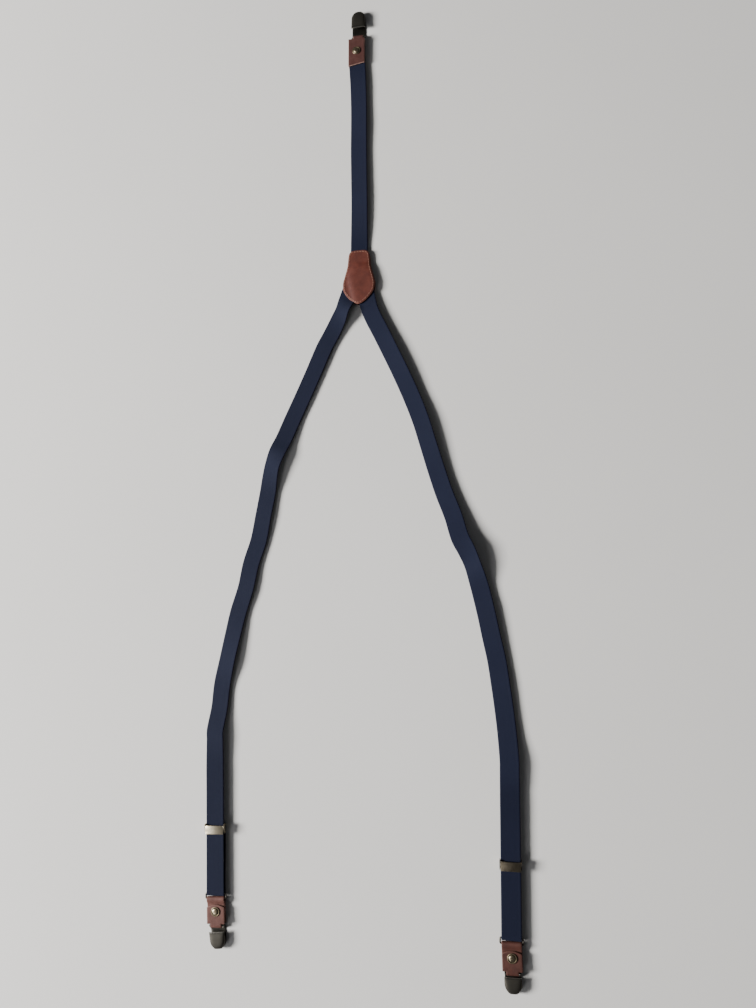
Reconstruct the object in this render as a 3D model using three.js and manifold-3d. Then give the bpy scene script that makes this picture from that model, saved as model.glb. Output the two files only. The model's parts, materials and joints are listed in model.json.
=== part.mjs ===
// Y-back suspenders with three clips, laid out flat: one strap at the back, two at the front.
// Millimetres. +X is right, +Y runs along the straps towards the back clip, +Z is up from the table.
// The group's origin is at the bottom centre of the whole object's box.
import * as THREE from "three";
import { mergeVertices } from "three/addons/utils/BufferGeometryUtils.js";
import Module from "manifold-3d";

// ---------- driving dimensions ----------
const gap = 0.3; // between pieces that touch
const play = 0.5; // round a bar that something turns on

const webbing = { width: 20, thickness: 1.2 };
const leather = { width: 20, thickness: 1.4 };
const ringWire = 0.9; // radius of the wire of the rectangular rings
const loopBar = 0.9; // radius of the bar in each clip's loop
const barHeight = 3.9; // height of the ring bars and the clips' loop bars above the table

// Stitched patch where the three straps meet: the right half of its outline, and its tip
const patch = { thickness: 1.4, seamInset: 1.8, threadWidth: 0.8, threadThickness: 0.4 };
const patchHalf = [
  [9.8, -89.6], [12, -91.2], [12.6, -97], [13.6, -107.5], [16.6, -119.5], [18.8, -129],
  [17.6, -138], [12.4, -146], [5.6, -152],
];
const patchTip = -154.2;

// Front tab: a leather band from the ring to the clip
const tab = {
  barSpacing: 26.3, // ring bar to clip bar
  shoulder: 1.7, // full width stops this far short of the clip bar
  flapEnd: 5.5, // flap's rounded end, below the ring bar
  flapSag: 2.8, // how far the rounded end drops at the sides
  rivet: 12.2, // rivet below the ring bar
  innerEnd: 15.6, // hidden end of the band, below the ring bar
};

// Back tab: leather folded round the clip's bar, with the webbing's end inside
const backTab = { length: 37, slant: 3, rivet: 17.8, webbingEnd: 7.5, clipOffset: 2 };

const rivet = { capRadius: 4.8, capHeight: 1.5, postRadius: 1.4, backRadius: 4, backThickness: 0.7 };

// Clip: base plate with loop, ears and pad; lever with a cam that turns on a pin
const clip = {
  coverLength: { back: 22, left: 17.6, right: 16 },
  coverWidth: 17,
  taperLength: 9.5, // stretch over which the cover rounds to its tip
  wall: 0.8,
  pinRadius: 0.6,
  pinHeight: 4.6,
  noseReach: 1.5, // cover in front of the pin
  tipReach: 0.4, // base in front of the cover
  armWidth: 1.4,
  earShare: 3 / 17, // half the width between the ears, as a share of the cover's width
  earRadius: 1.3, // rounded top of each ear
  pinHalf: 5,
  baseInset: 0.35, // base narrower than the cover, each side
  loopSlot: 0.6, // between the leather in the loop and the base plate
  toothDepth: 0.3,
  neckRoom: 0.6, // between the arms of the loop and the leather in it
};
const pad = { thickness: 0.6, start: -1.6, end: 2.6, ridgePitch: 0.7, ridgeHeight: 0.25, ridges: 6 };
const padTop = clip.wall + gap + pad.thickness;
const frontClipReach = { left: 3.2, right: 0.5 }; // free length between leather and cover
const backClipReach = 9.2;

// Adjuster: side walls with a hook bar and an anvil bar, and a toothed flip lever
const adjuster = {
  place: { left: 66.7, right: 69.2 }, // distance from the ring bar, along the strap
  depth: 9.4,
  wall: 0.6,
  hookBar: 0.7,
  pinRadius: 0.6,
  camRadius: 1.3,
  plate: 0.8,
};
const straightRun = 138; // from the ring bar to the top of the adjuster's travel

// Where each front strap ends: the ring bar's middle, and the turn of strap, tab and clip in degrees
const ends = {
  left: { x: -154.2, y: -800, strapTurn: 1.9, tabTurn: 3.4, clipTurn: 6.9 },
  right: { x: 156.7, y: -820.4, strapTurn: -0.6, tabTurn: 1, clipTurn: 1.4 },
};
const backBar = { x: -3.6, y: 180 }; // middle of the back clip's loop bar

// Hand-chosen routes of the straps' middle lines: x and y, and for the back strap the height from
// that of the clip's bar
const backRoute = [
  [-3.5, 166, 0], [-3.4, 158, 0], [-3.2, 150, 0], [-2.6, 138, -0.6], [-1.8, 118, -2.3],
  [-1.2, 95, -2.7], [-1, 68, -2.7], [-1, 38, -2.7], [-0.5, 0, -2.7], [0, -30, -2.7],
];
const leftRoute = [
  [-4.5, -124], [-8.6, -133.5], [-12.6, -143.5], [-19, -160], [-33, -188], [-41, -202], [-53, -230],
  [-65, -257], [-78, -285], [-88, -312], [-96, -326], [-102, -340], [-106, -367], [-111, -395],
  [-116, -422], [-124, -449], [-129.5, -476], [-137.5, -502], [-144, -529], [-149.5, -555],
  [-155, -582], [-158.5, -608],
];
const rightRoute = [
  [3.5, -122], [5.8, -131], [8.2, -141.5], [13, -162], [27, -192], [34, -207], [47, -235],
  [59.5, -264], [70, -292], [78, -319], [86, -346], [94.5, -373], [104.5, -399.5], [112, -426],
  [123.5, -451], [131, -477], [137.5, -502], [142.5, -527], [147.5, -551], [151, -576],
  [154, -600], [156.5, -624],
];
const restHeight = 1.2; // middle of a strap that lies on the table

// ---------- derived layout ----------
const webFold = ringWire + gap + webbing.thickness / 2; // mid-layer radius of the webbing's fold
const ringFold = ringWire + play - 0.1 + leather.thickness / 2;
const clipFold = loopBar + play + leather.thickness / 2;
const ringSpacing = webFold + webbing.thickness / 2 + ringFold + leather.thickness / 2 + gap;
const ringInner = webbing.width / 2 + 0.4;
const earInner = clip.coverWidth * clip.earShare; // half the width between the ears
const neckWidth = clip.coverWidth - 2 * (clip.baseInset + clip.armWidth + clip.neckRoom);
const runHeight = barHeight + webFold; // middle of the webbing's upper run at the adjuster
const layerStep = patch.thickness / 2 + gap + webbing.thickness / 2;
const lowerLayer = patch.thickness + gap + webbing.thickness / 2;
const upperLayer = lowerLayer + webbing.thickness + gap;
const frontLeather = upperLayer + layerStep; // middle of the patch's front leather

// ---------- helpers ----------
const wasm = await Module();
wasm.setup();

function solidOf(geometry) {
  const plain = geometry.clone();
  plain.deleteAttribute("normal");
  plain.deleteAttribute("uv");
  const merged = mergeVertices(plain, 1e-4);
  const mesh = new wasm.Mesh({
    numProp: 3,
    vertProperties: merged.attributes.position.array,
    triVerts: new Uint32Array(merged.index.array),
  });
  return new wasm.Manifold(mesh);
}

function geometryOf(solid) {
  const { vertProperties, triVerts } = solid.getMesh();
  const geometry = new THREE.BufferGeometry();
  geometry.setAttribute("position", new THREE.BufferAttribute(vertProperties, 3));
  geometry.setIndex(new THREE.BufferAttribute(triVerts, 1));
  geometry.computeVertexNormals();
  return geometry;
}

const joined = (...geometries) =>
  geometryOf(geometries.map(solidOf).reduce((sum, next) => sum.add(next)));
const cut = (geometry, ...cutters) =>
  geometryOf(cutters.map(solidOf).reduce((left, next) => left.subtract(next), solidOf(geometry)));
const common = (a, b) => geometryOf(solidOf(a).intersect(solidOf(b)));

function box(x, y, z) {
  const [w, d, h] = [x[1] - x[0], y[1] - y[0], z[1] - z[0]];
  return new THREE.BoxGeometry(w, d, h).translate(x[0] + w / 2, y[0] + d / 2, z[0] + h / 2);
}

// Round bar along X, centred at (y, z)
function barX(radius, length, y, z, sides = 20) {
  return new THREE.CylinderGeometry(radius, radius, length, sides)
    .rotateZ(Math.PI / 2)
    .translate(0, y, z);
}

// Outline drawn in X-Y, raised between two heights
function upright(shape, low, high, segments = 8) {
  return new THREE.ExtrudeGeometry(shape, {
    depth: high - low,
    bevelEnabled: false,
    curveSegments: segments,
  }).translate(0, 0, low);
}

// Outline drawn in Y-Z, widened along X between two places
function sideways(shape, from, to) {
  const turn = new THREE.Matrix4().makeBasis(
    new THREE.Vector3(0, 1, 0),
    new THREE.Vector3(0, 0, 1),
    new THREE.Vector3(1, 0, 0),
  );
  return new THREE.ExtrudeGeometry(shape, { depth: to - from, bevelEnabled: false })
    .applyMatrix4(turn)
    .translate(from, 0, 0);
}

const polygon = (points) => new THREE.Shape(points.map(([x, y]) => new THREE.Vector2(x, y)));

// Points on an arc round (y, z), angles in degrees from +Y towards +Z
function arc(y, z, radius, from, to, steps) {
  const points = [];
  for (let i = 0; i <= steps; i++) {
    const angle = THREE.MathUtils.degToRad(from + ((to - from) * i) / steps);
    points.push([y + radius * Math.cos(angle), z + radius * Math.sin(angle)]);
  }
  return points;
}

// Closed Y-Z outline of a strip of even thickness along a middle line
function stripOutline(middle, thickness) {
  const upper = [];
  const lower = [];
  middle.forEach(([y, z], i) => {
    const before = middle[Math.max(i - 1, 0)];
    const after = middle[Math.min(i + 1, middle.length - 1)];
    const length = Math.hypot(after[0] - before[0], after[1] - before[1]);
    const ny = (-(after[1] - before[1]) / length) * (thickness / 2);
    const nz = ((after[0] - before[0]) / length) * (thickness / 2);
    upper.push([y + ny, z + nz]);
    lower.push([y - ny, z - nz]);
  });
  return polygon([...upper, ...lower.reverse()]);
}

// Flat ribbon along a curve, its width always level
function ribbon(points, width, thickness, steps) {
  const path = new THREE.CatmullRomCurve3(points, false, "centripetal");
  path.arcLengthDivisions = 600;
  const geometry = new THREE.BoxGeometry(width, 1, thickness, 1, steps, 1);
  const position = geometry.attributes.position;
  const up = new THREE.Vector3(0, 0, 1);
  for (let i = 0; i < position.count; i++) {
    const along = THREE.MathUtils.clamp(position.getY(i) + 0.5, 0, 1);
    const tangent = path.getTangentAt(along);
    const side = new THREE.Vector3().crossVectors(tangent, up).normalize();
    const normal = new THREE.Vector3().crossVectors(side, tangent);
    const point = path
      .getPointAt(along)
      .addScaledVector(side, position.getX(i))
      .addScaledVector(normal, position.getZ(i));
    position.setXYZ(i, point.x, point.y, point.z);
  }
  return geometry;
}

const material = (color, roughness, metalness) =>
  new THREE.MeshStandardMaterial({ color, roughness, metalness });
const materials = {
  webbing: material(0x1d2645, 0.85, 0),
  leather: material(0x6e3f34, 0.6, 0),
  thread: material(0x5a3327, 0.8, 0),
  gunmetal: material(0x3d3b34, 0.4, 1),
  brass: material(0x9a8a62, 0.35, 1),
  silvered: material(0xb5ab93, 0.3, 1),
  plastic: material(0x2b2b2b, 0.6, 0),
};

function piece(name, geometry, finish) {
  const mesh = new THREE.Mesh(geometry, finish);
  mesh.name = name;
  return mesh;
}

function placed(x, y, turn, ...children) {
  const group = new THREE.Group();
  group.position.set(x, y, 0);
  group.rotation.z = THREE.MathUtils.degToRad(turn);
  group.add(...children);
  return group;
}

// ---------- patch ----------
// Outline drawn smaller by an inset, about the patch's middle
function patchOutline(inset) {
  const top = patchHalf[0][1];
  const middle = (top + patchTip) / 2;
  const widest = Math.max(...patchHalf.map(([x]) => x));
  const narrower = 1 - inset / widest;
  const shorter = 1 - inset / (middle - patchTip);
  const inner = patchHalf.map(([x, y]) => [x * narrower, middle + (y - middle) * shorter]);
  const tip = middle + (patchTip - middle) * shorter;
  const shape = new THREE.Shape();
  const side = inner.slice(1).map(([x, y]) => new THREE.Vector2(x, y));
  const other = [...inner].reverse().map(([x, y]) => new THREE.Vector2(-x, y));
  shape.moveTo(inner[0][0], inner[0][1]);
  shape.splineThru([...side, new THREE.Vector2(0, tip), ...other]);
  shape.closePath();
  return shape;
}

function patchPieces() {
  const half = patch.thickness / 2;
  const seam = upright(patchOutline(patch.seamInset), 0, patch.threadThickness, 3);
  const middle = upright(patchOutline(patch.seamInset + patch.threadWidth), -1, 1, 3);
  const seamHeight = frontLeather + half + gap;
  return [
    piece("patch_back", upright(patchOutline(0), 0, patch.thickness, 3), materials.leather),
    piece(
      "patch_front",
      upright(patchOutline(0), frontLeather - half, frontLeather + half, 3),
      materials.leather,
    ),
    piece("patch_stitching", cut(seam, middle).translate(0, 0, seamHeight), materials.thread),
  ];
}

// ---------- straps ----------
function alongEnd(end, distance) {
  const angle = THREE.MathUtils.degToRad(end.strapTurn);
  return [end.x - distance * Math.sin(angle), end.y + distance * Math.cos(angle)];
}

// A front strap leaves the patch at its layer's height, lies on the table and climbs to the run
function frontStrap(side, route, layer) {
  const flat = route.map(([x, y], i) => {
    const settled = THREE.MathUtils.smoothstep(i, 2.5, 5);
    return new THREE.Vector3(x, y, THREE.MathUtils.lerp(layer, restHeight, settled));
  });
  const straight = [30, 24, 16, 8, gap].map((beyond) => {
    const [x, y] = alongEnd(ends[side], straightRun + beyond);
    const height = beyond > 24 ? runHeight - gap : runHeight;
    return new THREE.Vector3(x, y, height);
  });
  const name = side + "_front_strap";
  const geometry = ribbon([...flat, ...straight], webbing.width, webbing.thickness, 64);
  return piece(name, geometry, materials.webbing);
}

function backStrap() {
  const end = new THREE.Vector3(backRoute[0][0], backBar.y - backTab.webbingEnd, barHeight);
  const route = backRoute.map(([x, y, drop]) => new THREE.Vector3(x, y, barHeight + drop));
  const underPatch = [[-60, restHeight + 0.3], [-84, lowerLayer], [-99, lowerLayer], [-114, lowerLayer]];
  const tail = underPatch.map(([y, z]) => new THREE.Vector3(0, y, z));
  const strap = ribbon([end, ...route, ...tail], webbing.width, webbing.thickness, 40);
  const hole = new THREE.CylinderGeometry(rivet.postRadius + gap, rivet.postRadius + gap, 4, 20)
    .rotateX(Math.PI / 2)
    .translate(backBar.x, backBar.y - backTab.rivet, barHeight);
  return piece("back_strap", cut(strap, hole), materials.webbing);
}

// The webbing's end: down to the fold round the ring, back underneath, and hooked on the adjuster
function strapLoop(side) {
  const hook = hookBarPlace(adjuster.place[side]);
  const lowRun = hook.z - hook.fold;
  const middle = [
    [straightRun, runHeight],
    [straightRun / 2, runHeight],
    ...arc(0, barHeight, webFold, 90, 270, 14),
    [12, barHeight - webFold - 0.1],
    [hook.y - 12, lowRun + 0.1],
    ...arc(hook.y, hook.z, hook.fold, -90, 90, 12),
    [hook.y - 2.4, hook.z + hook.fold],
  ];
  const outline = stripOutline(middle, webbing.thickness);
  const half = webbing.width / 2;
  return piece(side + "_strap_loop", sideways(outline, -half, half), materials.webbing);
}

// ---------- ring ----------
function ring(side) {
  const half = ringInner + ringWire;
  const sideBar = (x) =>
    new THREE.CylinderGeometry(ringWire, ringWire, ringSpacing, 10).translate(x, -ringSpacing / 2, barHeight);
  const corner = (x, y) => new THREE.SphereGeometry(ringWire, 10, 6).translate(x, y, barHeight);
  const geometry = joined(
    barX(ringWire, 2 * half, 0, barHeight, 10),
    barX(ringWire, 2 * half, -ringSpacing, barHeight, 10),
    sideBar(-half),
    sideBar(half),
    ...[-half, half].flatMap((x) => [corner(x, 0), corner(x, -ringSpacing)]),
  );
  return piece(side + "_ring", geometry, materials.gunmetal);
}

// ---------- rivets ----------
// Cap with a rim and a dome, and the post that goes down through the leather
function rivetCap(name, y, top, bottom) {
  const { capRadius, capHeight, postRadius } = rivet;
  const base = top + gap;
  const profile = [
    [0, bottom], [postRadius, bottom], [postRadius, base], [capRadius, base],
    [capRadius, base + 0.3], [capRadius - 0.5, base + 0.75], [capRadius - 1.3, base + 0.7],
    [capRadius - 1.8, base + 0.95], [capRadius - 3, base + capHeight - 0.1], [0, base + capHeight],
  ].map(([r, z]) => new THREE.Vector2(r, z));
  const cap = new THREE.LatheGeometry(profile, 20).rotateX(Math.PI / 2).translate(0, y, 0);
  return piece(name, cap, materials.brass);
}

function rivetBack(name, y, top) {
  const { backRadius, backThickness, postRadius } = rivet;
  const inner = postRadius + gap;
  const profile = [
    [inner, 0], [backRadius - 0.3, 0], [backRadius, backThickness], [inner, backThickness], [inner, 0],
  ].map(([r, z]) => new THREE.Vector2(r, z));
  const disc = new THREE.LatheGeometry(profile, 20)
    .rotateX(Math.PI / 2)
    .translate(0, y, top - gap - backThickness);
  return piece(name, disc, materials.brass);
}

const postHole = (y) =>
  new THREE.CylinderGeometry(rivet.postRadius + gap, rivet.postRadius + gap, 40, 20)
    .rotateX(Math.PI / 2)
    .translate(0, y, 0);

// Cutters that leave only the neck between the shoulder and beyond the fold
function neckCutters(barY, towardsBody, offset = 0) {
  const shoulderY = barY + towardsBody * tab.shoulder;
  const beyond = barY - towardsBody * 8;
  const y = [Math.min(shoulderY, beyond), Math.max(shoulderY, beyond)];
  const wide = leather.width / 2 + 1;
  return [-1, 1].map((s) => {
    const x = [offset + (s * neckWidth) / 2, s * wide].sort((a, b) => a - b);
    return box(x, y, [-1, barHeight * 3]);
  });
}

// ---------- front tab ----------
// One leather band: hidden end, round the ring, down the back, round the clip's bar, up the front
function frontTab(side) {
  const step = leather.thickness + gap;
  const bottom = -tab.barSpacing;
  const middle = [
    [-tab.innerEnd, barHeight],
    [-tab.rivet + 3, barHeight],
    [-5.3, barHeight],
    [-3.9, barHeight + 0.45],
    [-2.4, barHeight + 1.35],
    ...arc(0, barHeight, ringFold, 105, -90, 14),
    [-6, barHeight - step],
    [-tab.innerEnd - 1, barHeight - step],
    ...arc(bottom, barHeight, clipFold, 270, 90, 14),
    [-tab.innerEnd - 2, barHeight + step + 0.1],
    [-tab.rivet, barHeight + step],
    [-tab.flapEnd, barHeight + step],
  ];
  const half = leather.width / 2;
  const band = sideways(stripOutline(middle, leather.thickness), -half, half);
  const radius = (half * half + tab.flapSag * tab.flapSag) / (2 * tab.flapSag);
  const flapTip = new THREE.Shape();
  const sweep = Math.asin(half / radius);
  flapTip.absarc(0, -tab.flapEnd - radius, radius, Math.PI / 2 + sweep, Math.PI / 2 - sweep, true);
  flapTip.lineTo(half + 1, -tab.flapEnd - tab.flapSag);
  flapTip.lineTo(half + 1, -tab.flapEnd + 0.1);
  flapTip.lineTo(-half - 1, -tab.flapEnd + 0.1);
  flapTip.lineTo(-half - 1, -tab.flapEnd - tab.flapSag);
  flapTip.closePath();
  const aboveFlap = barHeight + step / 2;
  const trimmer = upright(flapTip, aboveFlap, aboveFlap + 3, 12);
  const geometry = cut(band, ...neckCutters(bottom, 1), trimmer, postHole(-tab.rivet));
  const top = barHeight + step + leather.thickness / 2;
  const under = barHeight - step - leather.thickness / 2;
  return [
    piece(side + "_tab", geometry, materials.leather),
    rivetCap(side + "_rivet_cap", -tab.rivet, top, under - gap - rivet.backThickness),
    rivetBack(side + "_rivet_back", -tab.rivet, under),
  ];
}

// ---------- back tab ----------
function backTabPieces() {
  const step = webbing.thickness / 2 + gap + leather.thickness / 2;
  const far = backTab.length;
  const middle = [
    [-far, barHeight + step],
    [-backTab.webbingEnd, barHeight + step],
    [-4, barHeight + clipFold - 0.2],
    ...arc(0, barHeight, clipFold, 90, -90, 14),
    [-4, barHeight - clipFold + 0.2],
    [-backTab.webbingEnd, barHeight - step],
    [-far, barHeight - step],
  ];
  const half = leather.width / 2;
  const band = sideways(stripOutline(middle, leather.thickness), -half, half);
  const slantCut = upright(
    polygon([
      [-half - 1, -far - 1], [half + 1, -far - 1], [half + 1, -far + backTab.slant], [-half - 1, -far],
    ]),
    -1,
    barHeight * 3,
  );
  const geometry = cut(band, ...neckCutters(0, -1, backTab.clipOffset), slantCut, postHole(-backTab.rivet));
  const top = barHeight + step + leather.thickness / 2;
  const under = barHeight - step - leather.thickness / 2;
  return [
    piece("back_tab", geometry, materials.leather),
    rivetCap("back_rivet_cap", -backTab.rivet, top, under - gap - rivet.backThickness),
    rivetBack("back_rivet_back", -backTab.rivet, under),
  ];
}

// ---------- clip ----------
// Tongue outline of the cover, inset by a wall; y = 0 at the pin, the tip towards -Y
function tongue(length, inset, extraTip) {
  const half = clip.coverWidth / 2 - inset;
  const front = -clip.noseReach - extraTip + inset;
  const rear = length - clip.noseReach + 1;
  const right = [];
  for (let i = 1; i <= 10; i++) {
    const share = 1 - Math.cos((Math.PI / 2) * (i / 10));
    const width = Math.pow(1 - Math.pow(1 - share, 2.1), 1 / 2.1);
    right.push([half * width, front + share * (clip.taperLength + extraTip - inset)]);
  }
  const left = right.map(([x, y]) => [-x, y]).reverse();
  return polygon([[0, front], ...right, [half, rear], [-half, rear], ...left]);
}

// Lever: domed cover with a skirt and a cam that points down at the pad, with its pin at y = 0, z = 0
function leverGeometry(length) {
  const rear = length - clip.noseReach;
  const topLine = [
    [rear, 2.2], [rear * 0.85, 2.05], [rear * 0.6, 2.5], [rear * 0.3, 2.6], [1.5, 2.5], [0, 2.3],
  ];
  const nose = [[-1, 1.7], [-1.45, 0.8], [-1.5, -0.4]];
  const outer = polygon([
    ...topLine, ...nose, [-1.3, -1.1], [2.5, -1.3], [rear * 0.5, -0.9], [rear * 0.85, 0.6], [rear, 1],
  ]);
  const under = topLine.map(([y, z]) => [y, z - clip.wall]).slice(1, -1);
  const inner = polygon([[rear + 2, 1], ...under, [-0.2, 1.5], [-0.7, 0.9], [-0.7, -4], [rear + 2, -4]]);
  const wide = clip.coverWidth;
  const shell = common(sideways(outer, -wide, wide), upright(tongue(length, 0, 0), -3, 4));
  const hollow = common(sideways(inner, -wide, wide), upright(tongue(length, clip.wall, 0), -5, 4));
  const reach = clip.pinHeight - padTop - gap;
  const cam = polygon([
    [-1.1, 0.9], [-1.3, -0.4], [-1.1, -1.4], [-0.6, -reach + 0.25], [0, -reach], [0.7, -reach + 0.15],
    [1.5, -1.7], [1.8, -0.4], [1.5, 2],
  ]);
  const camHalf = earInner - gap;
  const slots = [-1, 1].map((s) => {
    const x = [s * camHalf, s * (earInner + clip.wall + gap)].sort((a, b) => a - b);
    return box(x, [-5, clip.earRadius + gap], [-4, clip.earRadius + gap]);
  });
  return cut(
    joined(cut(shell, hollow, ...slots), sideways(cam, -camHalf, camHalf)),
    barX(clip.pinRadius + gap, wide * 2, 0, 0),
  );
}

// Plate outline with small teeth round the tip; y = 0 at the loop bar
function basePlate(length, pinY, rearEdge) {
  const outline = tongue(length, clip.baseInset, clip.tipReach).getPoints();
  const rear = Math.max(...outline.map((point) => point.y));
  const toothZone = clip.taperLength * 0.35;
  const toothed = [];
  outline.forEach((point, i) => {
    const next = outline[(i + 1) % outline.length];
    toothed.push([point.x, point.y === rear ? -rearEdge : point.y + pinY]);
    if (point.y < toothZone && next.y < toothZone) {
      const out = new THREE.Vector2(next.y - point.y, point.x - next.x).setLength(clip.toothDepth);
      toothed.push([(point.x + next.x) / 2 + out.x, (point.y + next.y) / 2 + out.y + pinY]);
    }
  });
  return polygon(toothed);
}

function clipPieces(side, freeLength) {
  const length = clip.coverLength[side];
  const pinY = -(clipFold + leather.thickness / 2 + freeLength + length - clip.noseReach);
  const rearEdge = clipFold + leather.thickness / 2 + clip.loopSlot;
  const half = clip.coverWidth / 2 - clip.baseInset;
  const plate = upright(basePlate(length, pinY, rearEdge), 0, clip.wall);
  const arm = polygon([
    [loopBar, barHeight + 0.5], [0.4, barHeight + loopBar], [-0.6, barHeight + loopBar],
    [-rearEdge - 1.2, clip.wall], [-rearEdge - 1.2, 0], [-rearEdge + 1.4, 0],
    [0.5, barHeight - loopBar], [loopBar, barHeight - 0.5],
  ]);
  const ear = polygon([
    [pinY - clip.earRadius, clip.wall / 2],
    ...arc(pinY, clip.pinHeight, clip.earRadius, 180, 0, 8),
    [pinY + clip.earRadius, clip.wall / 2],
  ]);
  const earOuter = earInner + clip.wall;
  const body = joined(
    plate,
    sideways(arm, -half, -half + clip.armWidth),
    sideways(arm, half - clip.armWidth, half),
    barX(loopBar, 2 * half, 0, barHeight, 16),
    sideways(ear, -earOuter, -earInner),
    sideways(ear, earInner, earOuter),
  );
  const base = cut(body, barX(clip.pinRadius + gap, 30, pinY, clip.pinHeight));
  const padHalf = earInner - gap;
  const padBottom = clip.wall + gap;
  const valley = padTop - pad.ridgeHeight;
  const padOutline = [[pinY + pad.start, padBottom]];
  for (let i = 0; i < pad.ridges; i++) {
    const y = pinY + pad.start + i * pad.ridgePitch;
    padOutline.push([y, valley], [y + pad.ridgePitch / 2, padTop]);
  }
  padOutline.push([pinY + pad.end, valley], [pinY + pad.end, padBottom]);
  const jawPad = sideways(polygon(padOutline), -padHalf, padHalf);
  const lever = piece(side + "_lever", leverGeometry(length), materials.gunmetal);
  lever.position.set(0, pinY, clip.pinHeight);
  const pinLength = 2 * clip.pinHalf;
  return [
    piece(side + "_clip_base", base, materials.gunmetal),
    piece(side + "_jaw_pad", jawPad, materials.plastic),
    piece(side + "_hinge_pin", barX(clip.pinRadius, pinLength, pinY, clip.pinHeight, 16), materials.gunmetal),
    lever,
  ];
}

// ---------- adjuster ----------
function hookBarPlace(place) {
  const fold = adjuster.hookBar + gap + webbing.thickness / 2;
  const tailTop = runHeight - webbing.thickness / 2 - gap;
  return { y: place + 2.9, z: tailTop - webbing.thickness / 2 - fold, fold };
}

function adjusterPieces(side) {
  const hook = hookBarPlace(adjuster.place[side]);
  const place = adjuster.place[side];
  const [front, back] = [place - adjuster.depth / 2, place + adjuster.depth / 2];
  const runTop = runHeight + webbing.thickness / 2;
  const runUnder = runHeight - webbing.thickness / 2;
  const pin = { y: place + 2.4, z: runTop + gap + adjuster.camRadius };
  const inner = webbing.width / 2 + 0.4;
  const outer = inner + adjuster.wall;
  const wall = polygon([
    [front, runUnder - 2.2], [front, pin.z - 0.8], [pin.y - 2, pin.z + 0.6], [pin.y - 0.6, pin.z + 1.2],
    [pin.y + 0.8, pin.z + 1.2], [back, pin.z], [back, hook.z], [hook.y + 1, hook.z - 1.1],
    [hook.y - 1, hook.z - 1.1], [hook.y - 2.4, runUnder - 2.2],
  ]);
  const frame = cut(
    joined(
      sideways(wall, -outer, -inner),
      sideways(wall, inner, outer),
      barX(adjuster.hookBar, inner * 2 + 0.4, hook.y, hook.z, 14),
      box([-inner - 0.1, inner + 0.1], [front + 0.6, front + 2.6], [runUnder - 1.8, runUnder - gap]),
    ),
    barX(adjuster.pinRadius + gap, 40, pin.y, pin.z, 16),
  );
  const leverHalf = inner - gap;
  const tip = front - 0.6;
  const upper = pin.z + 0.9;
  const plate = polygon([
    [pin.y + 1, pin.z + 0.3], [pin.y + 0.7, upper - 0.1], [pin.y - 0.4, upper + 0.2],
    [front + 3, upper + 0.1], [front + 1, upper - 0.15], [tip, upper + 0.2], [tip - 0.3, upper - 0.5],
    [front + 1, upper - 0.15 - adjuster.plate], [pin.y - 2.4, upper - adjuster.plate - 0.1],
    [pin.y - 1.2, pin.z - 0.3], [pin.y - 0.8, pin.z - 0.9], [pin.y, pin.z - adjuster.camRadius],
    [pin.y + 0.6, pin.z - 0.9], [pin.y + 0.95, pin.z - 0.3],
  ]);
  const lever = cut(
    sideways(plate, -leverHalf, leverHalf),
    barX(adjuster.pinRadius + gap, 40, pin.y, pin.z, 16),
  );
  return [
    piece(side + "_adjuster_frame", frame, materials.silvered),
    piece(side + "_adjuster_pin", barX(adjuster.pinRadius, outer * 2, pin.y, pin.z, 14), materials.silvered),
    piece(side + "_adjuster_lever", lever, materials.silvered),
  ];
}

// ---------- assembly ----------
function frontEnd(side) {
  const end = ends[side];
  const clipGroup = placed(
    0, -tab.barSpacing, end.clipTurn - end.tabTurn, ...clipPieces(side, frontClipReach[side]),
  );
  const tabGroup = placed(0, -ringSpacing, end.tabTurn - end.strapTurn, ...frontTab(side), clipGroup);
  return placed(
    end.x, end.y, end.strapTurn, strapLoop(side), ring(side), ...adjusterPieces(side), tabGroup,
  );
}

const suspenders = new THREE.Group();
suspenders.name = "suspenders";
const backClip = placed(backTab.clipOffset, 0, 180, ...clipPieces("back", backClipReach));
suspenders.add(
  backStrap(),
  frontStrap("left", leftRoute, lowerLayer),
  frontStrap("right", rightRoute, upperLayer),
  ...patchPieces(),
  placed(backBar.x, backBar.y, 0, ...backTabPieces(), backClip),
  frontEnd("left"),
  frontEnd("right"),
);

// Stand the origin under the middle of the object's box
const bounds = new THREE.Box3().setFromObject(suspenders, true);
const middle = bounds.getCenter(new THREE.Vector3());
suspenders.position.set(-middle.x, -middle.y, -bounds.min.z);

export default suspenders;
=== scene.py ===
import json
import math

import bmesh
import bpy
import numpy as np
from mathutils import Euler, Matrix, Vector, geometry

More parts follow.
